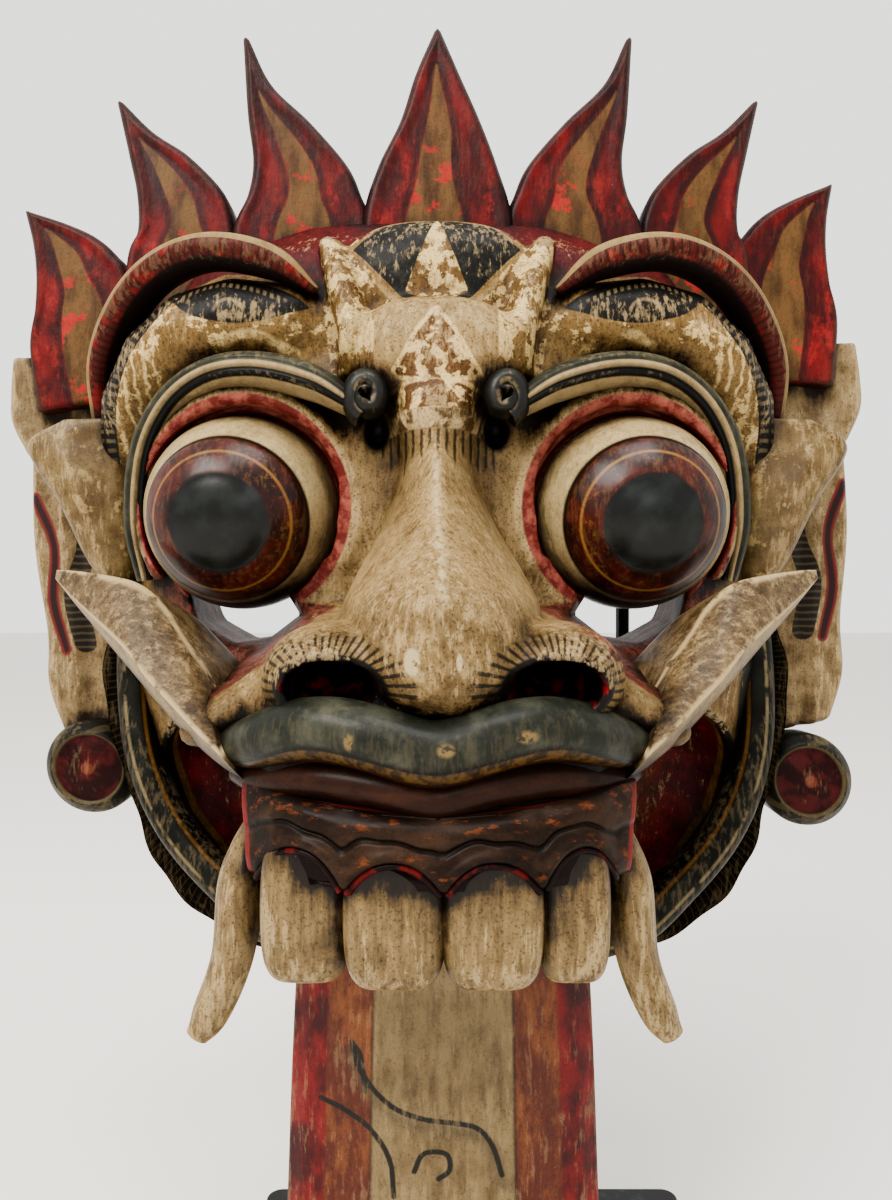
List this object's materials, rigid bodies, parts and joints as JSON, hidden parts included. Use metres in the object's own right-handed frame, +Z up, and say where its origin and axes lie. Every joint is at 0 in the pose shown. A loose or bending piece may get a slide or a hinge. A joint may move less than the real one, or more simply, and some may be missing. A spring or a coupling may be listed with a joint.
{
  "type": "dragon mask",
  "caption": "Carved and painted wooden dragon mask with bulging eyes, flame crown, tusks and hanging tongue, on a metal display stand.",
  "frame": {"origin": "under the middle of the whole object, on the surface that the stand's plate stands on", "axes": "+Z up, +X to the right of someone facing the mask, +Y from the face to the hollow back"},
  "size_m": [0.277, 0.156, 0.3952],
  "materials": {
    "painted_wood": "aged satin paint, worn and rubbed at the edges",
    "painted_tongue": "aged satin paint",
    "black_plate": "satin black paint",
    "black_rod": "satin black paint"
  },
  "bodies": {
    "root": {"mask": "painted_wood", "tongue": "painted_tongue", "stand_plate": "black_plate", "stand_frame": "black_rod"}
  },
  "joints": []
}
